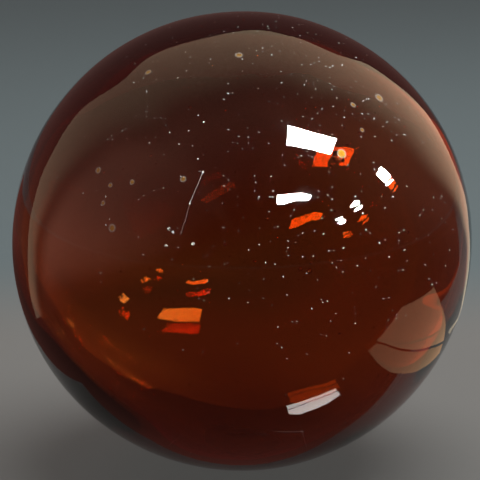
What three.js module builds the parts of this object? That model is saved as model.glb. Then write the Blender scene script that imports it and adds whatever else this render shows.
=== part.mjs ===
// Witch ball: one sealed ball of amber glass, blown by hand and ground flat where it rests.
// Millimetres, +Z up. The origin is the middle of the ground flat, which lies in the plane z = 0,
// and the side that is seen first faces -Y.
import * as THREE from 'three';

// The ball's outer diameter, over the glass.
const ballDiameter = 125;
// The ground pontil flat underneath, which keeps the ball from rolling.
const restFlatDiameter = 20;
// How far the crown leans towards +X over the foot: blown glass sags a little while it cools, so
// the outline is very slightly oval, with its long axis rising towards +X.
const crownLean = 0.6;

// Steps up the profile from the edge of the flat to the crown, and steps round the ball.
const profileSteps = 36;
const roundSteps = 72;

const glassColour = 0x8a3a14;
const glassRoughness = 0.04;
const glassOpacity = 0.8;

// How far the ball's centre stands above the flat that is ground off it.
function centreHeight() {
  return Math.sqrt((ballDiameter / 2) ** 2 - (restFlatDiameter / 2) ** 2);
}

// Half the outline of the round ball, as distance from the axis and height over the flat: out
// from the middle of the flat to its edge, then up the arc of the ball to the crown.
function ballProfile() {
  const radius = ballDiameter / 2;
  const edgeAngle = Math.asin(restFlatDiameter / 2 / radius);
  const points = [new THREE.Vector2(0, 0)];
  for (let step = 0; step < profileSteps; step++) {
    const angle = THREE.MathUtils.lerp(edgeAngle, Math.PI, step / profileSteps);
    const height = centreHeight() - radius * Math.cos(angle);
    points.push(new THREE.Vector2(radius * Math.sin(angle), height));
  }
  points.push(new THREE.Vector2(0, centreHeight() + radius));
  return points;
}

// The profile turned about the vertical axis, then leaned: each level shifts towards +X in
// proportion to its height, which leaves the flat where it is, level and round.
function ballGeometry() {
  const geometry = new THREE.LatheGeometry(ballProfile(), roundSteps);
  geometry.rotateX(Math.PI / 2);
  const leanPerHeight = crownLean / (centreHeight() + ballDiameter / 2);
  geometry.applyMatrix4(new THREE.Matrix4().makeShear(0, 0, 0, 0, leanPerHeight, 0));
  return geometry;
}

// Amber bottle glass with the polish that the fire leaves.
function amberGlass() {
  return new THREE.MeshStandardMaterial({
    color: glassColour,
    roughness: glassRoughness,
    metalness: 0,
    transparent: true,
    opacity: glassOpacity,
  });
}

// The ball is sealed, so it is one solid.
const ball = new THREE.Mesh(ballGeometry(), amberGlass());
ball.name = 'glass_ball';

const witchBall = new THREE.Group();
witchBall.add(ball);

export default witchBall;
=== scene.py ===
"""A lesson in cells: the looks of a witch ball, one sealed ball of dark amber glass blown by hand."""
# %% [markdown]
# # The frame comes first
# The ball was built and weighed elsewhere as a plain solid. Loading that solid first gives this
# scene its size and place: nothing below moves or resizes it, and every length is in metres.

# %% Load the frame
import math

import bpy
import numpy as np
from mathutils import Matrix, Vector


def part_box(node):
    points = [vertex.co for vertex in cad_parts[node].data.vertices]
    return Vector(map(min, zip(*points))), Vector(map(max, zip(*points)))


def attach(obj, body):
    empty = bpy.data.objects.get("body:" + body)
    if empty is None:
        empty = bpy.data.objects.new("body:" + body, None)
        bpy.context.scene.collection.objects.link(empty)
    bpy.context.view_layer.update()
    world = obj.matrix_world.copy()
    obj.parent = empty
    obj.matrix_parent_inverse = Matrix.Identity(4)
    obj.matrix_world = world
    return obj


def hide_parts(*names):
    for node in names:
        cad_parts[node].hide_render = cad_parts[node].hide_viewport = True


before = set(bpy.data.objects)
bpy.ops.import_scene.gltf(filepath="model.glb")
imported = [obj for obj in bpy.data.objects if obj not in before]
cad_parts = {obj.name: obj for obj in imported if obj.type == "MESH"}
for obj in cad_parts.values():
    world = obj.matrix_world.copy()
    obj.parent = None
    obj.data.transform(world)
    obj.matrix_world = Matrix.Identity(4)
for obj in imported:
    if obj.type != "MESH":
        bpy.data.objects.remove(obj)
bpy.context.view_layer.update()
NODE = "glass_ball"

# %% [markdown]
# # What the solid says about the ball
# A ball that is ground flat underneath, and whose crown leans a little over its foot, has four
# sizes: its radius, the height of its centre, the radius of the flat and the lean. The box gives
# them all. Its depth is the diameter, because the lean is only sideways; the flat follows from
# Pythagoras; and the middle of the box is about half the lean away from the middle of the flat.

# %% Read the four sizes
low, high = (np.array(corner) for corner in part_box(NODE))
RADIUS = (high[1] - low[1]) / 2
HEIGHT = high[2] - low[2]
CENTRE_HEIGHT = HEIGHT - RADIUS
FLAT_RADIUS = math.sqrt(RADIUS ** 2 - CENTRE_HEIGHT ** 2)
LEAN = (low[0] + high[0]) / 2 * HEIGHT / CENTRE_HEIGHT
CENTRE = np.array([(low[0] + high[0]) / 2, 0.0, CENTRE_HEIGHT])
print(f"radius {RADIUS:.4f}, flat {FLAT_RADIUS:.4f}, lean {LEAN:.5f}, centre {CENTRE.round(5)}")

# %% [markdown]
# # A camera where the photographer stood
# The ball fills the picture, so its outline fixes the camera once a distance is chosen: the edge
# of a ball shows where a ray just grazes it, at the angle whose sine is radius over distance.
# The lens follows from that angle and the outline's radius in pixels. The camera looks a little
# past the middle of the ball, which puts the ball where it lies in the picture.

# %% Set up the camera
PICTURE = 480                      # pixels, each way
BALL_AT = (242.0, 241.0)           # the outline's centre in the picture
BALL_PIXELS = 230.0                # the outline's radius
ELEVATION = math.radians(12)
DISTANCE = 8 * RADIUS
SENSOR = 36.0

focal = BALL_PIXELS / math.tan(math.asin(RADIUS / DISTANCE))
toward_camera = np.array([0.0, -math.cos(ELEVATION), math.sin(ELEVATION)])
camera_at = CENTRE + DISTANCE * toward_camera
middle = np.array([PICTURE / 2, PICTURE / 2])
aim_x, aim_y = (middle - BALL_AT) / focal * DISTANCE
picture_up = np.array([0.0, math.sin(ELEVATION), math.cos(ELEVATION)])
aim = CENTRE + aim_x * np.array([1.0, 0.0, 0.0]) - aim_y * picture_up


def put(name, data):
    """A new object in the scene, at the origin and unturned."""
    made = bpy.data.objects.new(name, data)
    bpy.context.scene.collection.objects.link(made)
    return made


camera_data = bpy.data.cameras.new("camera")
camera_data.sensor_width = SENSOR
camera_data.lens = focal * SENSOR / PICTURE
camera_data.clip_start, camera_data.clip_end = 0.01, 30.0
camera = put("camera", camera_data)
camera.location = camera_at
camera.rotation_euler = Vector(aim - camera_at).to_track_quat("-Z", "Y").to_euler()
bpy.context.scene.camera = camera
bpy.context.view_layer.update()
print(f"lens {camera_data.lens:.1f} mm at {DISTANCE:.3f} m")

# %% [markdown]
# # From a place in the picture to a place on the glass
# Bubbles, scratches and reflections are easiest to name by the pixel where they show. Two small
# helpers turn such pixels into the scene's own measures. The first follows the camera's ray to
# the ball. The second bounces it off, which says where a lamp must stand to be mirrored there.

# %% Helpers from pixels to the ball
def unit(vectors):
    return vectors / np.linalg.norm(vectors, axis=-1, keepdims=True)


def dots(first, second):
    return (first * second).sum(-1, keepdims=True)


def rays_through(pixels):
    """Unit vectors from the camera through pixels: right by x, down by y, ahead by the focal length."""
    across = np.atleast_2d(np.asarray(pixels, float)) - middle
    local = np.column_stack([across[:, 0], -across[:, 1], np.full(len(across), -focal)])
    return unit(local @ np.array(camera.matrix_world.to_3x3()).T)


def on_ball(pixels):
    """Unit vectors from the ball's centre to where the rays meet it: the nearer root of the quadratic."""
    rays = rays_through(pixels)
    offset = camera_at - CENTRE
    along = rays @ offset
    inside = np.maximum(along ** 2 - (offset @ offset - RADIUS ** 2), 0.0)
    return unit(offset + rays * (-along - np.sqrt(inside))[:, None])


def bounce(rays, normals):
    """The mirror: a ray less twice its part along the normal."""
    return rays - 2 * dots(rays, normals) * normals


def mirrored_from(pixels):
    """Which way to look from the ball for what it mirrors at these pixels."""
    return bounce(rays_through(pixels), on_ball(pixels))


print("a lamp mirrored at (310, 141) stands toward", mirrored_from((310, 141)).round(2))

# %% [markdown]
# # Smooth unevenness, the way hot glass has it
# Glass that is blown and turned by hand is smooth to the touch and still never true: its walls
# swell and thin over a few centimetres. A sum of sine waves that run in random directions
# through space gives exactly that when it is read off on a sphere: it has no seams and no poles,
# and its wavelength is a length that can be chosen. The seed is fixed, so it is the same each run.

# %% A field of waves on the sphere
class Waves:
    """Sines of random heading, phase and wavelength, read at RADIUS times a direction."""

    def __init__(self, shortest, longest, count, seed, height=0.0):
        rng = np.random.default_rng(seed)
        heading = unit(rng.normal(size=(count, 3)))
        self.length = rng.uniform(shortest, longest, count)
        self.turns = 2 * np.pi * RADIUS * heading / self.length[:, None]
        self.phase = rng.uniform(0, 2 * np.pi, count)
        weight = self.length / longest
        self.weight = weight * height / math.sqrt((weight ** 2).sum() / 2)

    def height(self, directions):
        """The sum of weight times sine; height in the call above is its root mean square."""
        return np.sin(directions @ self.turns.T + self.phase) @ self.weight

    def slope(self, directions):
        """Its change along the sphere: each sine's derivative, less the part that points outwards."""
        change = (np.cos(directions @ self.turns.T + self.phase) * self.weight) @ self.turns
        return change - dots(change, directions) * directions


skin_waves = Waves(0.010, 0.034, count=48, seed=11, height=0.000018)
on_axes = abs(skin_waves.height(unit(np.eye(3)))).max()
print(f"the skin waves reach {on_axes * 1e6:.0f} micrometres on the axes")

# %% [markdown]
# # The outer skin
# The skin is a profile carried round the vertical axis: out along the ground flat, then up the
# arc to the crown. The two parameters are the place along the profile and the angle round the
# axis. Each level then shifts sideways in proportion to its height, as in the solid, and fine
# waves move the blown part in and out by a few hundredths of a millimetre. They die out at the
# flat, because that was ground true.

# %% Work out the outer skin
FLAT_ROWS = 10
ARC_ROWS = 140
ROUND_STEPS = 288


def leaned(points):
    """Points round the ball's upright centre, set up on the flat and leaned as the solid is."""
    placed = points + [0, 0, CENTRE_HEIGHT]
    placed[:, 0] += LEAN * placed[:, 2] / HEIGHT
    return placed


def outer_skin():
    """Points in rows: radius and height of the profile, turned by the angle, moved by the waves."""
    edge_angle = math.asin(FLAT_RADIUS / RADIUS)
    out = np.linspace(0, 1, FLAT_ROWS + 1)[1:]
    angle = np.linspace(edge_angle, np.pi, ARC_ROWS + 1)[1:-1]
    across = np.concatenate([FLAT_RADIUS * out, RADIUS * np.sin(angle)])
    up = np.concatenate([np.full(FLAT_ROWS, -CENTRE_HEIGHT), -RADIUS * np.cos(angle)])
    turn = np.linspace(0, 2 * np.pi, ROUND_STEPS, endpoint=False)
    rows = np.stack(np.broadcast_arrays(
        across[:, None] * np.cos(turn), across[:, None] * np.sin(turn), up[:, None]), axis=-1)
    points = np.concatenate([[[0, 0, -CENTRE_HEIGHT]], rows.reshape(-1, 3), [[0, 0, RADIUS]]])
    fade = np.clip((points[:, 2] + CENTRE_HEIGHT) / (FLAT_RADIUS / 2), 0, 1)
    moved = fade * fade * (3 - 2 * fade) * skin_waves.height(unit(points))
    return leaned(points + unit(points) * moved[:, None])


def grid_faces(rows, steps):
    """Faces of a closed skin of rows by steps points between two poles: a fan of triangles at each
    pole and squares between the rows, turned so that they point away from the axis."""
    index = 1 + np.arange(rows * steps).reshape(rows, steps)
    right = np.roll(index, -1, axis=1)
    squares = np.stack([index[:-1], right[:-1], right[1:], index[1:]], axis=-1).reshape(-1, 4)
    south = np.stack([np.zeros(steps, int), right[0], index[0]], axis=-1)
    north = np.stack([np.full(steps, 1 + rows * steps), index[-1], right[-1]], axis=-1)
    return squares, np.concatenate([south, north])


skin_points = outer_skin()
skin_squares, skin_triangles = grid_faces(FLAT_ROWS + ARC_ROWS - 1, ROUND_STEPS)
print(f"outer skin: {len(skin_points)} points, {len(skin_squares)} squares")

# %% [markdown]
# # Every lamp shows more than once
# The ball is hollow, so it has four mirrors: the outer skin in front gives a white highlight, the
# inner skin behind it an orange partner, the inner skin of the back wall a second orange one, and
# the outer skin of the back wall a red one, which has been through the glass four times. Where a
# partner shows says how the wall slopes at that place. So the windows are listed here by the
# corners of their highlights, and the pairs by where a highlight and its partner lie.

# %% List the windows and their partners
WINDOWS = {                         # corners of the highlight in the picture, and metres away
    "key_window": ([(288.2, 125.9), (312, 131.8), (336, 138.6), (329.7, 153.8), (303.4, 147.5),
                    (285.5, 144.4)], 0.45),
    "low_window": ([(276.6, 195.7), (299.8, 193.5), (310.5, 197), (307, 202.4), (295.4, 201),
                    (284, 204.6), (276.6, 204.6)], 0.45),
    "side_window": ([(381.5, 166.7), (391.3, 176.5), (385.1, 183.7), (376.2, 175.6)], 0.6),
    "side_bar": ([(392.7, 178.8), (393.6, 180.5), (386.9, 186.8), (385.5, 185.4)], 0.6),
    "far_window": ([(349.4, 208.7), (354.3, 202.4), (359.6, 202.4), (358.8, 205.5), (353.4, 208.7)], 0.6),
    "far_bar": ([(352, 213.1), (361.9, 206), (362.3, 208.2), (357, 212.2)], 0.6),
    "small_window": ([(334.6, 220.3), (341.8, 218), (340.9, 220.3), (337.3, 222)], 0.6),
    "small_bar": ([(336.9, 223.8), (343.6, 220.3), (345.8, 221.6), (343.6, 224.7), (339.1, 225.2)], 0.6),
    "foot_strip": ([(286.7, 406), (312, 397.6), (335.7, 388.4), (336.9, 391), (312, 400.4),
                    (288, 409.4)], 0.029),
    "foot_bar": ([(288.4, 410.2), (312, 401.1), (337.5, 391.8), (341, 394.5), (328, 403.5),
                  (312, 410.5), (289.7, 416.7)], 0.029),
}
FRONT_PAIRS = [                     # window, a place in its highlight, its partner in front
    ("key_window", (288.2, 125.9), (317.7, 155.5)), ("key_window", (336, 138.6), (350, 142)),
    ("key_window", (329.7, 153.8), (349, 168.9)), ("key_window", (285.5, 144.4), (316.8, 163.6)),
    ("low_window", (276.6, 200), (288.2, 221.6)), ("low_window", (310.5, 198.5), (320.4, 215.8)),
    ("side_window", (384.5, 175.5), (392.2, 186.2)), ("far_window", (356, 207.6), (361.7, 217)),
    ("small_window", (340, 221.6), (347.2, 234)), ("foot_strip", (289, 411), (292, 399.5)),
    ("foot_strip", (338, 392), (338, 383)),
]
BACK_PAIRS = [                      # window, place, its partners in the back wall's two skins
    ("key_window", (287.2, 135.4), (201, 313), (202, 327)),
    ("key_window", (332.5, 146.1), (160, 313), (163, 327)),
    ("low_window", (276.6, 200), (208.8, 283), (208, 295)),
    ("low_window", (310.5, 198.5), (184.8, 283), (187, 295)),
    ("side_window", (384.5, 175.5), (124, 299.5), (125.8, 314.7)),
    ("far_window", (356, 207.6), (147.2, 279), (147.7, 289.7)),
    ("small_window", (340, 221.6), (160.2, 268.8), (158.8, 277.7)),
]
PAIRS = [(*pair, "front inner") for pair in FRONT_PAIRS]
PAIRS += [(window, place, inner, "back inner") for window, place, inner, _ in BACK_PAIRS]
PAIRS += [(window, place, outer, "back outer") for window, place, _, outer in BACK_PAIRS]


def window_points(pixels, away):
    """Places that the ball mirrors at these pixels, so far away along the mirrored ray."""
    return CENTRE + RADIUS * on_ball(pixels) + np.reshape(away, (-1, 1)) * mirrored_from(pixels)


pair_windows = window_points([pair[1] for pair in PAIRS], [WINDOWS[pair[0]][1] for pair in PAIRS])
pair_partners = np.array([pair[2] for pair in PAIRS], float)
pair_mirrors = np.array([pair[3] for pair in PAIRS])
print(f"{len(WINDOWS)} glowing shapes, {len(PAIRS)} pairs")

# %% [markdown]
# # Following a ray through the wall
# To use the pairs, a ray is followed backwards from the camera through a partner's pixel: into
# the glass, off its mirror, and out again. Each skin is met where the ray reaches its radius, and
# bends the ray by Snell's law. The inner radius depends on the direction, so the meeting point
# is found by meeting a sphere, reading the true radius there, and meeting again.

# %% Follow rays
WALL = 0.0050
GLASS_INDEX = 1.52
fine_waves = Waves(0.008, 0.030, count=48, seed=23, height=0.000022)
slow_waves = Waves(0.030, 0.160, count=160, seed=7)


def inner_radius(directions):
    return RADIUS - WALL + slow_waves.height(directions) + fine_waves.height(directions)


def outer_normals(directions):
    return unit(directions - skin_waves.slope(directions) / RADIUS)


def meet(points, rays, radius, far):
    """Where rays reach the radius, from the quadratic in the way to go; far takes the larger root."""
    along = dots(points, rays)
    root = np.sqrt(np.maximum(along ** 2 - dots(points, points) + radius ** 2, 0))
    return points + rays * (-along + (root if far else -root))


def meet_outer(points, rays):
    points = meet(points, rays, RADIUS, True)
    return points, outer_normals(unit(points))


def meet_inner(points, rays, far):
    radius = RADIUS - WALL
    for _ in range(4):
        met = meet(points, rays, radius, far)
        radius = inner_radius(unit(met))[:, None]
    slope = slow_waves.slope(unit(met)) + fine_waves.slope(unit(met))
    return met, unit(unit(met) - slope / radius)


def bend(rays, normals, ratio):
    """Snell's law in vectors; ratio is the index before the skin over the index behind it."""
    facing = np.where(dots(rays, normals) > 0, -normals, normals)
    cosine = -dots(rays, facing)
    behind = np.sqrt(np.maximum(1 - ratio ** 2 * (1 - cosine ** 2), 0))
    return ratio * rays + (ratio * cosine - behind) * facing


def follow(pixels, mirror):
    """Where the rays through these pixels leave the ball, and which way, after the named mirror."""
    points = RADIUS * on_ball(pixels)
    rays = bend(rays_through(pixels), outer_normals(unit(points)), 1 / GLASS_INDEX)
    points, normals = meet_inner(points, rays, far=False)
    if mirror == "front inner":
        rays = bounce(rays, normals)
    else:
        rays = bend(rays, normals, GLASS_INDEX)
        points, normals = meet_inner(points, rays, far=True)
        if mirror == "back inner":
            rays = bounce(rays, normals)
        else:
            points, normals_out = meet_outer(points, bend(rays, normals, 1 / GLASS_INDEX))
            rays = bounce(bend(rays, normals, 1 / GLASS_INDEX), normals_out)
            points, normals = meet_inner(points, rays, far=False)
            rays = bend(rays, normals, GLASS_INDEX)
        points, normals = meet_inner(points, rays, far=True)
        rays = bend(rays, normals, 1 / GLASS_INDEX)
    points, normals = meet_outer(points, rays)
    return points, bend(rays, normals, GLASS_INDEX)


def misses():
    """For every pair, how far the ray that leaves points beside the window: one long vector."""
    gap = np.zeros((len(PAIRS), 3))
    for mirror in np.unique(pair_mirrors):
        picked = pair_mirrors == mirror
        points, rays = follow(pair_partners[picked], mirror)
        gap[picked] = rays - unit(pair_windows[picked] - CENTRE - points)
    return gap.ravel()


print(f"with an even wall, the rays miss the windows by {np.abs(misses()).mean():.3f} on average")

# %% [markdown]
# # Solving for the wall
# The wall's slow waves start at rest. How each wave's weight moves the misses is measured by
# nudging it, which gives a matrix, and least squares then picks the weights that close the
# misses. A small price on every weight, smaller for long waves, keeps the wall as even and as
# smooth as the pairs allow. The problem bends a little, so the step is taken eight times.

# %% Solve for the wall
PRICE = 50.0
NUDGE = 1e-6
STEPS = 8

ease = (slow_waves.length / slow_waves.length.max()) ** 2
for _ in range(STEPS):
    start = slow_waves.weight.copy()
    missed = misses()
    effect = np.empty((len(missed), len(start)))
    for wave in range(len(start)):
        slow_waves.weight = start + NUDGE * (np.arange(len(start)) == wave)
        effect[:, wave] = (misses() - missed) / NUDGE * ease[wave]
    wanted = np.linalg.lstsq(
        np.vstack([effect, PRICE * np.eye(len(start))]),
        np.concatenate([effect @ (start / ease) - missed, np.zeros(len(start))]), rcond=None)[0]
    slow_waves.weight = wanted * ease
around = unit(np.random.default_rng(0).normal(size=(4000, 3)))
walls = (RADIUS - inner_radius(around)) * 1000
print(f"now they miss by {np.abs(misses()).mean():.3f}")
print(f"the wall is {walls.min():.1f} to {walls.max():.1f} mm, {walls.mean():.2f} on average")

# %% [markdown]
# # The inner skin
# With the wall known in every direction, the inner skin is a plain grid over two angles, with
# each direction carried out to its inner radius. It is finer than the shortest wave needs.

# %% Work out the inner skin
INNER_ROWS = 118
INNER_STEPS = 236


def sphere_rows(rows, steps):
    """Unit directions of a sphere: a pole, rows by steps points over two angles, and the other pole."""
    angle = np.linspace(0, np.pi, rows + 2)[1:-1, None]
    turn = np.linspace(0, 2 * np.pi, steps, endpoint=False)
    grid = np.stack(np.broadcast_arrays(
        np.sin(angle) * np.cos(turn), np.sin(angle) * np.sin(turn), -np.cos(angle)), axis=-1)
    return np.concatenate([[[0.0, 0, -1]], grid.reshape(-1, 3), [[0.0, 0, 1]]])


inner_directions = sphere_rows(INNER_ROWS, INNER_STEPS)
inner_points = leaned(inner_directions * inner_radius(inner_directions)[:, None])
inner_squares, inner_triangles = grid_faces(INNER_ROWS, INNER_STEPS)
print(f"inner skin: {len(inner_points)} points, {len(inner_squares)} squares")

# %% [markdown]
# # Seeds and blisters
# Cheap bottle glass is full of small bubbles. Glassmakers call the fine ones seeds and the large
# ones blisters, and blowing stretches them flat along the wall. Each is a real cavity in the wall,
# so it bends light by itself: a blister shows as a bright spot with a dark ring. One ellipsoid is
# the pattern for all, and whole arrays of centres, sizes and frames carry it to its places.

# %% Make the bubbles
BLISTERS = np.array([               # x and y in the picture, then diameter and thickness in mm
    (341.4, 153.8, 3.4, 1.5), (350, 142, 0.9, 0.5), (333.5, 164, 0.9, 0.5), (362, 130, 0.9, 0.4),
    (302, 269.7, 1.1, 0.6), (311.6, 271.7, 1.3, 0.7), (305, 68, 0.9, 0.4), (210, 60, 0.8, 0.4),
    (146, 152, 1.0, 0.5), (97, 169, 0.9, 0.4), (412, 232, 0.8, 0.5), (268, 218, 1.0, 0.4),
])
SEED_COUNT = 620
SEED_SIZES = (0.00018, 0.00036)     # smallest and largest diameter in metres
SEED_GROWTH = [1.0, 1.6, 2.4]       # most are that small, some are larger
GROWTH_SHARES = [0.8, 0.15, 0.05]
SEED_DEPTHS = (0.12, 0.88)          # shares of the way through the wall
CROWD_AT = (300, 130)               # the place in the picture where seeds and dust lie thickest
CROWD_SHARPNESS = 4.0
FEWEST = 0.12                       # how many are left on the far side, as a share
ABOVE_FLAT = -0.97                  # the flat is ground, so no seed lies under it


def ellipsoids(centres, normals, widths, thickness, rows, steps):
    """A unit ball of rows by steps points, made as wide and thick as each bubble, its short axis
    along the normal, at each centre. The faces point into the bubble, which is out of the glass."""
    ball = sphere_rows(rows, steps)
    side = unit(np.cross(normals, [0.0, 0.0, 1.0]))
    axes = np.stack([side * widths[:, None], np.cross(normals, side) * widths[:, None],
                     normals * thickness[:, None]], axis=1) / 2
    points = centres[:, None] + np.einsum("vk,nkj->nvj", ball, axes)
    squares, triangles = grid_faces(rows, steps)
    shift = (np.arange(len(centres)) * len(ball))[:, None, None]
    squares = (squares + shift).reshape(-1, 4)[:, ::-1]
    triangles = (triangles + shift).reshape(-1, 3)[:, ::-1]
    return points.reshape(-1, 3), squares, triangles


def in_the_wall(directions, share):
    """Points that lie the given share of the way through the wall from the outer skin inwards."""
    outer = RADIUS + skin_waves.height(directions)
    depth = (inner_radius(directions) - outer) * share
    return leaned(directions * (outer + depth)[:, None])


rng = np.random.default_rng(5)
blister_directions = on_ball(BLISTERS[:, :2])
blisters = ellipsoids(
    in_the_wall(blister_directions, rng.uniform(0.4, 0.55, len(BLISTERS))), blister_directions,
    BLISTERS[:, 2] / 1000, BLISTERS[:, 3] / 1000, rows=15, steps=24)

candidates = unit(rng.normal(size=(SEED_COUNT * 6, 3)))
crowding = np.exp(CROWD_SHARPNESS * (candidates @ on_ball(CROWD_AT)[0] - 1))
kept = rng.uniform(size=len(candidates)) < FEWEST + (1 - FEWEST) * crowding
above_flat = candidates[:, 2] > ABOVE_FLAT
seed_directions = candidates[kept & above_flat][:SEED_COUNT]
seed_widths = rng.uniform(*SEED_SIZES, len(seed_directions)) * rng.choice(
    SEED_GROWTH, len(seed_directions), p=GROWTH_SHARES)
seeds = ellipsoids(
    in_the_wall(seed_directions, rng.uniform(*SEED_DEPTHS, len(seed_directions))), seed_directions,
    seed_widths, seed_widths * rng.uniform(0.5, 1.0, len(seed_directions)), rows=3, steps=7)
print(f"{len(BLISTERS)} blisters and {len(seed_directions)} seeds")

# %% [markdown]
# # One piece of glass
# Light keeps count of which glass it is in, so the two skins and all the bubbles are one mesh
# with one material: the outer skin faces out, and the inner skin and the bubbles face into their
# own hollows. Two marks are stored on the points for the finish: skin is 1 on the outside only,
# and ground is 1 on the flat.

# %% Put the glass together
def join_parts(parts):
    """Points of all parts in one array, and each part's faces moved on by the points before it."""
    starts = np.cumsum([0] + [len(points) for points, _, _ in parts[:-1]])
    points = np.concatenate([points for points, _, _ in parts])
    squares = np.concatenate([squares + start for (_, squares, _), start in zip(parts, starts)])
    triangles = np.concatenate([fans + start for (_, _, fans), start in zip(parts, starts)])
    return points, squares, triangles


def mesh_from(name, points, squares, triangles):
    """A mesh from arrays, smooth all over: corners first, then where each face starts."""
    mesh = bpy.data.meshes.new(name)
    corners = np.concatenate([squares.ravel(), triangles.ravel()]).astype(np.int32)
    sides = np.concatenate([np.full(len(squares), 4), np.full(len(triangles), 3)])
    starts = np.concatenate([[0], np.cumsum(sides)[:-1]]).astype(np.int32)
    mesh.vertices.add(len(points))
    mesh.vertices.foreach_set("co", points.astype(np.float32).ravel())
    mesh.loops.add(len(corners))
    mesh.loops.foreach_set("vertex_index", corners)
    mesh.polygons.add(len(sides))
    mesh.polygons.foreach_set("loop_start", starts)
    mesh.polygons.foreach_set("use_smooth", np.ones(len(sides), bool))
    mesh.update(calc_edges=True)
    mesh.validate()
    return mesh


def store(mesh, name, values):
    """Keep one number for each point of a mesh under a name that a material can read."""
    attribute = mesh.attributes.new(name, "FLOAT", "POINT")
    attribute.data.foreach_set("value", values.astype(np.float32).ravel())


points, squares, triangles = join_parts([
    (skin_points, skin_squares, skin_triangles),
    (inner_points, inner_squares[:, ::-1], inner_triangles[:, ::-1]),
    blisters, seeds])
glass_mesh = mesh_from("blown_glass_ball", points, squares, triangles)
order = np.arange(len(points))
store(glass_mesh, "skin", order < len(skin_points))
store(glass_mesh, "ground", order < FLAT_ROWS * ROUND_STEPS + 1)
ball = put("blown_glass_ball", glass_mesh)


def glass_volume(mesh):
    """The volume inside closed faces: a sixth of the triple product of each triangle's corners."""
    mesh.calc_loop_triangles()
    corner = np.empty(len(mesh.loop_triangles) * 3, np.int32)
    mesh.loop_triangles.foreach_get("vertices", corner)
    place = np.empty(len(mesh.vertices) * 3, np.float32)
    mesh.vertices.foreach_get("co", place)
    a, b, c = place.reshape(-1, 3).astype(float)[corner.reshape(-1, 3)].transpose(1, 0, 2)
    return (a * np.cross(b, c)).sum() / 6


GLASS_KG_PER_M3 = 2500
volume = glass_volume(glass_mesh)
print(f"glass: {volume * 1e6:.1f} cm3, {volume * GLASS_KG_PER_M3:.3f} kg, "
      f"{len(glass_mesh.loop_triangles)} triangles")
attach(ball, "root")
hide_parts(NODE)

# %% [markdown]
# # Helpers for nodes
# The finish and the stage are made of nodes, and a few helpers keep them readable. One adds a node
# and fills its sockets, with a value or with a link from another node. On it stand a Math node, a
# smooth step between two values, a vector sum and a blend of two colours. Each of these finds the
# node tree that it belongs to from an output that it is given. The last three make a blank
# material, show a surface on it, and make a flat sheet of the stage.

# %% Helpers for nodes
def add(tree, kind, inputs=(), **settings):
    """A new node. Settings are its own properties, and inputs are pairs of a socket and what goes
    in: a value to set there, or another node's output to link."""
    made = tree.nodes.new("ShaderNode" + kind)
    for name, setting in settings.items():
        setattr(made, name, setting)
    for socket, term in inputs:
        if isinstance(term, bpy.types.NodeSocket):
            tree.links.new(term, made.inputs[socket])
        else:
            made.inputs[socket].default_value = term
    return made


def calc(operation, *terms):
    """One Math node on numbers and other nodes' outputs."""
    tree = next(term.id_data for term in terms if isinstance(term, bpy.types.NodeSocket))
    return add(tree, "Math", enumerate(terms), operation=operation).outputs[0]


def step(value, start, end, low=0.0, high=1.0):
    """Smooth from low at start to high at end."""
    sockets = ("Value", "From Min", "From Max", "To Min", "To Max")
    inputs = zip(sockets, (value, start, end, low, high))
    return add(value.id_data, "MapRange", inputs, interpolation_type="SMOOTHSTEP").outputs["Result"]


def vector(operation, first, second=(0, 0, 0)):
    """One Vector Math node on an output and a fixed vector."""
    made = add(first.id_data, "VectorMath", enumerate((first, tuple(second))), operation=operation)
    scalar = operation in ("DOT_PRODUCT", "DISTANCE")
    return made.outputs["Value" if scalar else "Vector"]


def opaque(colour):
    """A colour with full alpha; another node's output stays as it is."""
    return (*colour, 1.0) if isinstance(colour, tuple) else colour


def blend(share, under, over):
    """The under colour where share is 0 and the over colour where it is 1."""
    inputs = [(0, share), (6, opaque(under)), (7, opaque(over))]
    return add(share.id_data, "Mix", inputs, data_type="RGBA").outputs[2]


def blank(name):
    """A new material without nodes, and its tree."""
    made = bpy.data.materials.new(name)
    made.use_nodes = True
    made.node_tree.nodes.clear()
    return made, made.node_tree


def show(tree, surface):
    """The surface becomes what the material shows, and its output node is handed back."""
    return add(tree, "OutputMaterial", [("Surface", surface)])


def sheet(name, corners, paint=None):
    """One flat face through the corners. Its material is blank, and its tree is handed back with it."""
    mesh = bpy.data.meshes.new(name)
    mesh.from_pydata([tuple(corner) for corner in corners], [], [tuple(range(len(corners)))])
    material, tree = blank(paint or name)
    mesh.materials.append(material)
    made = put(name, mesh)
    return made, tree


print("helpers: add, calc, step, vector, opaque, blend, blank, show, sheet")

# %% [markdown]
# # Amber glass
# The colour of bottle glass is in its depth, not on its skin: iron and sulphur take the blue and
# most of the green out of light along the way. So the shader itself is white and clear, and a
# volume absorption sets how much is lost in each metre. One wall leaves about half of the red and
# a fifth of the green, two walls look amber, four look red.

# %% Amber glass material
TINT = (0.815, 0.470, 0.033)
DENSITY = 600.0                     # per metre

amber, amber_tree = blank("amber_glass")
shader = add(amber_tree, "BsdfPrincipled", [("IOR", GLASS_INDEX)])
depth = add(amber_tree, "VolumeAbsorption", [("Color", opaque(TINT)), ("Density", DENSITY)])
amber_tree.links.new(depth.outputs[0], show(amber_tree, shader.outputs[0]).inputs["Volume"])
glass_mesh.materials.append(amber)
for wall in (1, 2, 4):
    left = np.exp(-(1 - np.array(TINT)) * DENSITY * WALL * wall)
    print(f"{wall} walls leave {left.round(3)}")

# %% [markdown]
# # Where the finish is read
# The place is the object's own coordinate, counted from the ball's centre, so that marks stay with
# the ball when it moves. The stored marks and a noise are read through two more helpers.

# %% Place, stored marks and noise
def stored(name):
    return add(amber_tree, "Attribute", attribute_name=name).outputs["Fac"]


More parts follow.
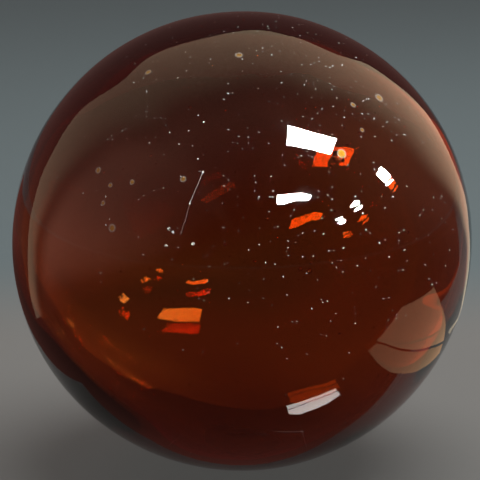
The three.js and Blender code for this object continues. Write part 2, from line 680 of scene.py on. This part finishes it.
def noise(scale, detail):
    """Noise from 0 to 1, with scale bumps to the metre."""
    inputs = [("Scale", scale), ("Detail", detail), ("Vector", place)]
    return add(amber_tree, "TexNoise", inputs).outputs["Fac"]


place = vector("SUBTRACT", add(amber_tree, "TexCoord").outputs["Object"], CENTRE)
skin = stored("skin")
print("the finish starts from", len(amber_tree.nodes), "nodes")

# %% [markdown]
# # Dust
# A ball that stands in the open gathers dust, and a strong lamp picks out every grain near it as a
# bright speck. A Voronoi texture has one random point in each cell of a grid through space, and a
# grain is where the skin passes close to such a point. A random colour of the cell decides
# whether the grain is there, how large it is and how pale, and two sizes of cell mix fine and
# coarse. The share of cells with a grain is largest round the highlight of the key window.

# %% Dust
FINE = (0.0012, 0.00015)            # metres between the grains' cells, and the largest radius
COARSE = (0.0042, 0.00024)
COARSE_SHARE = 0.5
SMALLEST = 0.4                      # of the largest radius
PALE = (0.1, 0.9)
CROWD_COSINES = (0.45, 1.05)        # toward the crowd, where dust is thinnest and where thickest
CROWD_SHARES = (0.04, 1.0)
PATCHES = 55.0                      # bumps to the metre
PATCH_EDGES = (0.35, 0.62)
PATCH_SHARES = (0.35, 1.0)


def grains(spacing, size, share):
    """How pale the grains are: cells spacing apart, radius up to size, in a share of the cells."""
    cells = add(amber_tree, "TexVoronoi", [("Scale", 1 / spacing), ("Vector", place)])
    chance = add(amber_tree, "SeparateColor", [(0, cells.outputs["Color"])]).outputs
    largest = size / spacing
    reach = calc("MULTIPLY_ADD", chance[1], (1 - SMALLEST) * largest, SMALLEST * largest)
    near = calc("LESS_THAN", cells.outputs["Distance"], reach)
    pale = calc("MULTIPLY_ADD", chance[2], PALE[1] - PALE[0], PALE[0])
    there = calc("MULTIPLY", near, calc("LESS_THAN", chance[0], share))
    return calc("MULTIPLY", there, pale)


toward_crowd = vector("DOT_PRODUCT", place, on_ball(CROWD_AT)[0] / RADIUS)
patchy = calc("MULTIPLY", step(toward_crowd, *CROWD_COSINES, *CROWD_SHARES),
              step(noise(PATCHES, 2.0), *PATCH_EDGES, *PATCH_SHARES))
dust = calc("MAXIMUM", grains(*FINE, patchy),
            grains(*COARSE, calc("MULTIPLY", patchy, COARSE_SHARE)))
print("dust in two sizes, thickest toward", on_ball(CROWD_AT)[0].round(2))

# %% [markdown]
# Scratches, nicks and painted glows
# Handling leaves two kinds of mark. A scratch is a stretch of a great circle: the place's part
# along the circle's axis is its distance from the scratch, and the part along the scratch says
# where it begins and ends. A nick is a small round bruise. Beside them lie painted glows: wider,
# fainter round yellow spots on the skin that stand for light caught in bubbles inside the wall,
# and a stronger one at the heart of the large blister for the light that passes through it.

# %% Marks of use and painted glows
SCRATCHES = [                       # from, to, half its width in metres
    ((203, 172), (190, 203), 0.000028), ((190, 203), (185, 221), 0.000018),
    ((185, 221), (180, 235), 0.000012),
    ((273, 431.2), (303.5, 431.6), 0.000024), ((258.4, 434.6), (266, 434), 0.000016),
    ((299, 422), (307.4, 449.6), 0.000006), ((169, 445), (182, 434), 0.000006),
]
NICKS = [                           # x, y, radius in metres
    (203, 172, 0.00030), (190, 203, 0.00028), (169, 229, 0.00045), (173, 232, 0.00032),
    (166, 246, 0.00040), (193, 244, 0.00045), (204, 122, 0.00022), (127, 138, 0.00028),
]
# painted light: yellow spots that stand for light caught in bubbles inside the wall
PAINTED_BUBBLE_GLOWS = [                   # x, y, radius in metres
    (112, 228, 0.0012), (148, 72, 0.0010), (183, 179, 0.0009), (103, 203, 0.0007), (239, 55, 0.0012),
    (379, 98, 0.0014), (353, 105, 0.0009), (110, 185, 0.0007), (362, 130, 0.0007), (98, 170, 0.0010),
    (132, 182, 0.0008),
]
# painted light: a yellow spot for the light that passes through the large blister
PAINTED_CORE_GLOW = (341.6, 153.6, 0.0013)       # the yellow heart of the large blister
NICK_SOFT, BUBBLE_GLOW_SOFT, CORE_SOFT = 0.4, 0.6, 0.35
RAGGED = (2600.0, 0.42, 0.58)       # bumps to the metre, and where a nick begins and ends
BROKEN = (700.0, 0.40, 0.60)        # the same for what is left of a scratch
BROKEN_SHARES = (0.06, 0.28)
SCRATCH_EDGE = 0.6


def scratch(start, end, half_width):
    """1 on a great-circle stretch: its axis is the cross product of the directions of its ends. It
    falls to 0 over an edge that lies half inside and half outside its half width."""
    first, last = on_ball([start, end])
    axis = unit(np.cross(first, last))
    heading = unit(last - first)
    beside = calc("ABSOLUTE", vector("DOT_PRODUCT", place, axis))
    along = vector("DOT_PRODUCT", place, heading)
    reach = RADIUS * (heading @ first), RADIUS * (heading @ last)
    inside = calc("MULTIPLY", calc("GREATER_THAN", along, reach[0]), calc("LESS_THAN", along, reach[1]))
    front = calc("GREATER_THAN", vector("DOT_PRODUCT", place, first), 0.0)
    return calc("MULTIPLY", step(beside, half_width * (1 + SCRATCH_EDGE), half_width * (1 - SCRATCH_EDGE)),
                calc("MULTIPLY", inside, front))


def spot(x, y, radius, soft):
    """1 in the middle of a round spot, falling to 0 over the soft share of its radius."""
    point = RADIUS * on_ball((x, y))[0]
    return step(vector("DISTANCE", place, point), radius, radius * (1 - soft))


def strongest(values):
    total = values[0]
    for value in values[1:]:
        total = calc("MAXIMUM", total, value)
    return total


ragged = step(noise(RAGGED[0], 1.0), *RAGGED[1:])
broken = step(noise(BROKEN[0], 2.0), *BROKEN[1:], *BROKEN_SHARES)
scratches = calc("MULTIPLY", strongest([scratch(*row) for row in SCRATCHES]), broken)
nicks = calc("MULTIPLY", strongest([spot(*row, NICK_SOFT) for row in NICKS]), ragged)
# painted glows, in place of the light in the bubbles and through the large blister
painted_bubble_glows = strongest([spot(*row, BUBBLE_GLOW_SOFT) for row in PAINTED_BUBBLE_GLOWS])
painted_core_glow = spot(*PAINTED_CORE_GLOW, CORE_SOFT)
# the count printed as open blisters is the count of painted bubble glows
print(f"{len(SCRATCHES)} scratches, {len(NICKS)} nicks, {len(PAINTED_BUBBLE_GLOWS)} open blisters")

# %% [markdown]
# # One finish from all of it
# Where a grain or a mark lies, the glass turns from clear to matt: transmission falls, roughness
# rises, the mirror goes, and the base colour becomes the grain's own. Where a painted glow lies, the
# skin turns yellow and a little matt, so that the windows light it up. Smudges only raise the
# roughness a little, in patches, and the ground flat is rough all over, because a wheel cut it. A
# fine bump frays the edges of the highlights, the way fire-polished glass does.

# %% Finish
DUST_COLOUR = (0.13, 0.078, 0.056)
MARK_COLOUR = (0.26, 0.20, 0.16)
# painted light: the yellow of the painted glows
PAINTED_GLOW_COLOUR = (0.46, 0.19, 0.015)
CLEAR = (1.0, 1.0, 1.0)
DUST_MATT, BUBBLE_GLOW_MATT, CORE_MATT = 0.9, 0.09, 0.25
DULL_ROUGHNESS, GROUND_ROUGHNESS = 0.9, 0.45
SMUDGES = (38.0, 0.50, 0.72)        # bumps to the metre, and where a smudge begins and is full
SMUDGE_ROUGHNESS = 0.05
PLAIN_MIRROR = 0.5                  # the specular level of clean glass
BUMPS = 420.0                       # to the metre
BUMP_HEIGHT = 0.000004

on_skin_dust = calc("MULTIPLY", dust, skin)
on_skin_marks = calc("MULTIPLY", calc("MAXIMUM", scratches, nicks), skin)
# the painted glows turn the skin yellow and a little matt
on_skin_painted_glow = calc("MULTIPLY", calc("MAXIMUM", painted_bubble_glows, painted_core_glow), skin)
yellow = calc("MAXIMUM", calc("MULTIPLY", painted_bubble_glows, BUBBLE_GLOW_MATT), calc("MULTIPLY", painted_core_glow, CORE_MATT))
covered = calc("MULTIPLY", calc("MAXIMUM", on_skin_dust, on_skin_marks), DUST_MATT)
dull = calc("GREATER_THAN", covered, 0.01)
matt = calc("MAXIMUM", covered, calc("MULTIPLY", yellow, skin))
smudges = calc("MULTIPLY", step(noise(SMUDGES[0], 4.0), *SMUDGES[1:], 0.0, SMUDGE_ROUGHNESS), skin)
cut = calc("MULTIPLY", stored("ground"), GROUND_ROUGHNESS)
roughness = calc("MAXIMUM", calc("MULTIPLY", dull, DULL_ROUGHNESS), calc("MAXIMUM", smudges, cut))
# the base colour: the marks' own colour, and the yellow of the painted glows
marked = blend(on_skin_marks, blend(on_skin_painted_glow, CLEAR, PAINTED_GLOW_COLOUR), MARK_COLOUR)
bump = add(amber_tree, "Bump", [
    ("Distance", BUMP_HEIGHT), ("Height", calc("MULTIPLY", noise(BUMPS, 2.0), skin))])
for socket, value in (
        ("Transmission Weight", calc("SUBTRACT", 1.0, matt)),
        ("Roughness", roughness),
        ("Specular IOR Level", calc("MULTIPLY_ADD", dull, -PLAIN_MIRROR, PLAIN_MIRROR)),
        ("Base Color", blend(on_skin_dust, marked, DUST_COLOUR)),
        ("Normal", bump.outputs[0])):
    amber_tree.links.new(value, shader.inputs[socket])
print("amber glass:", len(amber_tree.nodes), "nodes")

# %% [markdown]
# # The stage
# The ball shows best on a plain floor under soft light. Its skin mirrors all that surrounds it,
# so the lights are shapes as much as lamps: small bright windows for the crisp highlights, and a
# warm tent that arches over the ball from the left to the right. The floor's own paint holds a
# painted pool of light: pale near the ball, dimmer and cooler towards the back.

# %% A floor with a painted pool of light
FLOOR_GAP = 0.00005
FLOOR_HALF = 12.0
# painted light: the first colour is the floor lit round the ball, the second the dimmer, cooler floor behind
# it
FLOOR_LIT_NEAR = (0.43, 0.44, 0.42)
FLOOR_DIM_FAR = (0.315, 0.40, 0.415)
FLOOR_ROUGHNESS = 0.9
PAINTED_FALLOFF = (0.12, 0.26)                # where the near shade turns into the far one, along y

square = ((-1, -1), (1, -1), (1, 1), (-1, 1))
floor, tree = sheet("floor", [(FLOOR_HALF * x, FLOOR_HALF * y, -FLOOR_GAP) for x, y in square], "floor_painted_light")
where = add(tree, "SeparateXYZ", [(0, add(tree, "TexCoord").outputs["Object"])])
# the painted pool of light, turning from the lit colour to the dim one along y
shade = blend(step(where.outputs["Y"], *PAINTED_FALLOFF), FLOOR_LIT_NEAR, FLOOR_DIM_FAR)
paint = add(tree, "BsdfPrincipled", [
    ("Base Color", shade), ("Roughness", FLOOR_ROUGHNESS), ("Specular IOR Level", 0.0)])
show(tree, paint.outputs[0])
print(f"floor {2 * FLOOR_HALF:.0f} m square, {FLOOR_GAP * 1000:.2f} mm under the ball")

# %% [markdown]
# # Dim surroundings
# What lies round a glossy dark thing is as much a part of its look as its own colour. Behind the
# ball it is a dim brown, and on the camera's side it is darker still, so that the front of the
# glass stays clear and its depth shows. The share of each follows the cosine of the angle
# between the way one looks and the way to the camera. Where the camera itself looks past the
# floor, it sees a plain grey backdrop.

# %% Surroundings
BEHIND = (0.105, 0.056, 0.050)
FACING = (0.030, 0.028, 0.027)
BACKDROP = (0.105, 0.112, 0.112)
TURN = (-0.2, 0.7)                  # cosines where one shade begins to turn, and is the other

world = bpy.data.worlds.new("surroundings")
bpy.context.scene.world = world
world.use_nodes = True
tree = world.node_tree
looking = vector("DOT_PRODUCT", add(tree, "TexCoord").outputs["Object"], toward_camera)
air = blend(step(looking, *TURN), BEHIND, FACING)
seen_air = blend(add(tree, "LightPath").outputs["Is Camera Ray"], air, BACKDROP)
tree.links.new(seen_air, tree.nodes["Background"].inputs["Color"])
print("surroundings:", BEHIND, "to", FACING)

# %% [markdown]
# # Windows, reflectors and a flag
# Each bright shape stands where the ball mirrors it at the pixels listed for it. Two dim, warm
# reflectors make a tan patch low on the right, and the gap between them its dark line. The camera
# sees none of these cards, and they light the glass alone, so the floor keeps its soft shadow.
# The flag is the photographer's trick for dark glass: a dark sheet, laid flat before the ball and
# on both sides of it, that keeps the pale floor out of its lower half and gives it a dark edge.

# %% Glowing cards
WINDOW_GLOW = 350.0
WINDOW_COLOUR = (0.85, 1.0, 1.0)
FOOT_GLOW = 6.6
FOOT_COLOUR = (1.0, 0.89, 0.83)
REFLECTORS = {                      # corners in the picture, and glow
    "reflector": ([(377, 341), (390, 326), (402, 308), (418, 300), (434, 288), (441, 305), (446, 325),
                   (444, 341), (431, 347), (416, 350), (400, 348.5), (386, 344)], 1.0),
    "reflector_foot": ([(368, 351), (377, 343.5), (386, 346), (400, 350.5), (416, 352.5), (431, 349.5),
                        (443, 344), (440, 353), (430, 364), (417, 372.5), (390, 372.5), (378, 364)], 0.8),
}
REFLECTOR_AWAY = 0.05
REFLECTOR_COLOUR = (1.0, 0.6, 0.35)
FLAG_CORNERS = [(-3, -3), (3, -3), (3, 2.5), (0.24, 0.16), (0.14, -0.010), (0.035, -0.026),
                (-0.03, -0.024), (-0.07, -0.01), (-0.09, 0.06), (-0.11, 0.25), (-0.4, 0.9), (-3, 1.5)]
FLAG_LIFT = 0.0006
NEAR_GLOW = 10.0                    # cards dimmer than this stand near the floor
FLAG_COLOUR = (0.120, 0.042, 0.034)

glass_only = bpy.data.collections.new("lit_by_windows")
glass_only.objects.link(ball)


def shining(tree, colour, strength):
    """A glow that goes out once light has spread on a matt thing, so that no light of these shapes
    gathers on the floor under the glass."""
    spread = add(tree, "LightPath").outputs["Diffuse Depth"]
    level = calc("MULTIPLY", calc("LESS_THAN", spread, 0.5), strength)
    return add(tree, "Emission", [("Color", opaque(colour)), ("Strength", level)]).outputs[0]


def card(name, corners, strength, colour):
    """A flat glowing shape for the glass alone, hidden from the camera. It throws no shadow, and a
    dim one near the floor takes no light from it either."""
    made, tree = sheet(name, corners)
    show(tree, shining(tree, colour, strength))
    made.visible_camera = False
    made.visible_diffuse = strength > NEAR_GLOW
    made.visible_shadow = False
    made.light_linking.receiver_collection = glass_only


for name, (corners, away) in WINDOWS.items():
    at_foot = name.startswith("foot")
    card(name, window_points(corners, away), FOOT_GLOW if at_foot else WINDOW_GLOW,
         FOOT_COLOUR if at_foot else WINDOW_COLOUR)
for name, (corners, glow) in REFLECTORS.items():
    card(name, window_points(corners, REFLECTOR_AWAY), glow, REFLECTOR_COLOUR)
card("flag", [(x, y, FLAG_LIFT) for x, y in FLAG_CORNERS], 1.0, FLAG_COLOUR)
print(len(WINDOWS), "windows,", len(REFLECTORS), "reflectors and a flag")

# %% [markdown]
# A net of painted shade behind the ball
# A net is a sheet of black gauze that takes a part of the light and lets the rest through. One
# lies on the floor behind the ball and to its left, where only the glass can see it, so that the
# floor shows darker through the lower half of the ball. It is painted shade, in place of the shadow
# that falls on the floor there. It takes most in its middle, and nothing at its rim: the share that
# passes rises smoothly with the distance from the middle.

# %% Net of painted shade
NET_AT = np.array([-0.08, 0.17, 0.0012])
NET_RADII = (0.05, 0.24)            # where it is thickest, and where it ends
NET_PASSES = 0.62
NET_SIDES = 48

turn = np.linspace(0, 2 * np.pi, NET_SIDES, endpoint=False)
rim = NET_AT + NET_RADII[1] * np.column_stack([np.cos(turn), np.sin(turn), np.zeros(NET_SIDES)])
shade_net, tree = sheet("shade_net", rim, "net_gauze")
# painted shade: least light passes in the middle
from_middle = vector("DISTANCE", add(tree, "TexCoord").outputs["Object"], NET_AT)
gauze = add(tree, "BsdfTransparent", [("Color", step(from_middle, *NET_RADII, low=NET_PASSES))])
show(tree, gauze.outputs[0])
shade_net.visible_camera = False
shade_net.visible_diffuse = False
shade_net.visible_shadow = False
print(f"the net passes {NET_PASSES:.0%} in its middle")

# %% [markdown]
# # The light tent
# The tent is a band of warm light round the back of the ball. Its outer edge is where the pale
# band in the glass begins. From there it glows for some degrees, and after a dark gap comes a dim,
# redder fill that dies out towards the camera. A smooth curve runs through the knots, each with its
# place in the picture and its own glow, and a fan of directions goes inwards from all along it.

# %% The light tent
TENT_EDGE = np.array([   # x, y, glow at the edge, its width in degrees, fill inside, metres away
    (37, 318, 0.28, 8, 0.02, 0.10), (31, 296, 0.36, 9, 0.10, 0.14), (28, 270, 0.40, 10, 0.50, 0.20),
    (28, 240, 0.42, 11, 0.76, 0.30), (32, 208, 0.42, 15, 0.76, 0.42), (46, 165, 0.42, 22, 0.72, 0.60),
    (78, 113, 0.40, 32, 0.74, 0.70), (118, 84, 0.46, 38, 0.62, 0.70), (159, 52, 0.56, 40, 0.48, 0.70),
    (239, 32, 0.72, 40, 0.42, 0.70), (294, 37, 0.84, 38, 0.42, 0.70), (335, 54, 1.00, 36, 0.42, 0.70),
    (376, 70, 1.15, 38, 0.40, 0.70), (428, 116, 1.15, 40, 0.36, 0.70), (461, 184, 0.78, 26, 0.22, 0.60),
    (469, 230, 0.66, 11, 0.08, 0.36), (469, 268, 0.66, 8, 0.02, 0.20), (461, 312, 0.62, 6, 0.01, 0.12),
    (450, 334, 0.50, 6, 0.0, 0.09),
])
TENT_SPAN = math.radians(110)
BAND_SHARPNESS = 5                  # how abruptly the band ends
FADE = 2.2                          # the fill sinks to nothing over the last part of the span
TENT_ROWS = 160
TENT_FANS = 45
TENT_GAP = 10                       # degrees between the end of the band and the start of the fill
BAND_COLOUR = np.array([1.0, 0.80, 0.52])
FILL_COLOUR = np.array([1.0, 0.42, 0.28])


def smooth_path(knots, steps):
    """A Catmull-Rom curve: between two knots, the cubic whose slope at each is half the way
    from the knot before to the knot after."""
    ends = np.concatenate([[2 * knots[0] - knots[1]], knots, [2 * knots[-1] - knots[-2]]])
    t = np.linspace(0, len(knots) - 1, steps)
    i = np.minimum(t.astype(int), len(knots) - 2)
    u = (t - i)[:, None]
    a, b, c, d = (ends[i + k] for k in range(4))
    bowed = u ** 2 * (a - 2.5 * b + 2 * c - d / 2) + u ** 3 * (1.5 * (b - c) + (d - a) / 2)
    return b + u * (c - a) / 2 + bowed


path = smooth_path(TENT_EDGE, TENT_ROWS)
glow, width, fill, away = path[:, 2:].T[..., None]
edge = mirrored_from(path[:, :2])
outward = edge @ toward_camera
sideways = unit(edge - outward[:, None] * toward_camera)
across = np.linspace(0, 1, TENT_FANS)
angle = np.arccos(outward)[:, None] - across * TENT_SPAN
seen = np.cos(angle)[..., None] * toward_camera + np.sin(angle)[..., None] * sideways[:, None]
mirror_points = CENTRE + RADIUS * unit(seen + toward_camera)
tent_points = mirror_points + away[..., None] * seen
index = np.arange(TENT_ROWS * TENT_FANS).reshape(TENT_ROWS, TENT_FANS)
tent_squares = np.stack([index[:-1, :-1], index[1:, :-1], index[1:, 1:], index[:-1, 1:]], axis=-1)
tent_mesh = mesh_from("light_tent", tent_points.reshape(-1, 3), tent_squares.reshape(-1, 4),
                      np.zeros((0, 3), int))
band = np.exp(-(across * TENT_SPAN / np.radians(width)) ** BAND_SHARPNESS)
filled = 1 - np.exp(-(across * TENT_SPAN / np.radians(width + TENT_GAP)) ** BAND_SHARPNESS)
fading = np.clip(FADE * (1 - across), 0, 1)
tone = (glow * band)[..., None] * BAND_COLOUR + (fill * fading * filled)[..., None] * FILL_COLOUR
tone = np.concatenate([tone, np.ones_like(tone[..., :1])], axis=-1)
colours = tent_mesh.attributes.new("tone", "FLOAT_COLOR", "POINT")
colours.data.foreach_set("color", tone.astype(np.float32).ravel())

tent_light, tree = blank("tent_light")
stored_tone = add(tree, "Attribute", attribute_name="tone").outputs["Color"]
clear_air = add(tree, "BsdfTransparent").outputs[0]
both = add(tree, "AddShader", [(0, shining(tree, stored_tone, 1.0)), (1, clear_air)])
show(tree, both.outputs[0])
tent_mesh.materials.append(tent_light)
tent = put("light_tent", tent_mesh)
tent.visible_camera = False
tent.light_linking.receiver_collection = glass_only
print(f"tent of {len(tent_mesh.polygons)} squares, brightest {glow.max():.2f}")

# %% [markdown]
# # Soft light for the floor
# A broad round lamp overhead brightens the floor round the ball and gives the soft contact
# shadow, and a very soft sun keeps the floor as bright far behind, where it shows through the
# ball. Both light the floor alone, because the glass has its own windows, and only the lamp
# casts a shadow.

# %% Overhead lights
LAMP_WATTS = 4.5
LAMP_ACROSS = 1.2
LAMP_AT = (0.33, 0.1, 1.1)
SUN_STRENGTH = 0.43
SUN_SPREAD = math.radians(120)

floor_only = bpy.data.collections.new("lit_by_overhead")
floor_only.objects.link(floor)
shadow_makers = bpy.data.collections.new("shadow_makers")
shadow_makers.objects.link(floor)
shadow_makers.objects.link(ball)
lamp_data = bpy.data.lights.new("overhead_softbox", "AREA")
lamp_data.shape = "DISK"
lamp_data.size = LAMP_ACROSS
lamp_data.energy = LAMP_WATTS
sun_data = bpy.data.lights.new("soft_sun", "SUN")
sun_data.energy = SUN_STRENGTH
sun_data.angle = SUN_SPREAD
for light_data, blockers in ((lamp_data, shadow_makers), (sun_data, floor_only)):
    lamp = put(light_data.name, light_data)
    lamp.location = LAMP_AT
    lamp.light_linking.receiver_collection = floor_only
    lamp.light_linking.blocker_collection = blockers
print("floor lights:", LAMP_WATTS, "W and", SUN_STRENGTH, "W per square metre")

# %% [markdown]
# # How the light is followed
# Light meets seven skins or more on its way through the ball and back, and each is a bounce, so
# the limits are raised. The plain Standard view keeps the tones as they are worked out here.

# %% Light paths
BOUNCES = 24
bpy.context.scene.view_settings.view_transform = "Standard"
bpy.context.scene.cycles.max_bounces = BOUNCES
bpy.context.scene.cycles.transmission_bounces = BOUNCES
bpy.context.scene.cycles.glossy_bounces = BOUNCES // 3
print("bounces:", bpy.context.scene.cycles.max_bounces)
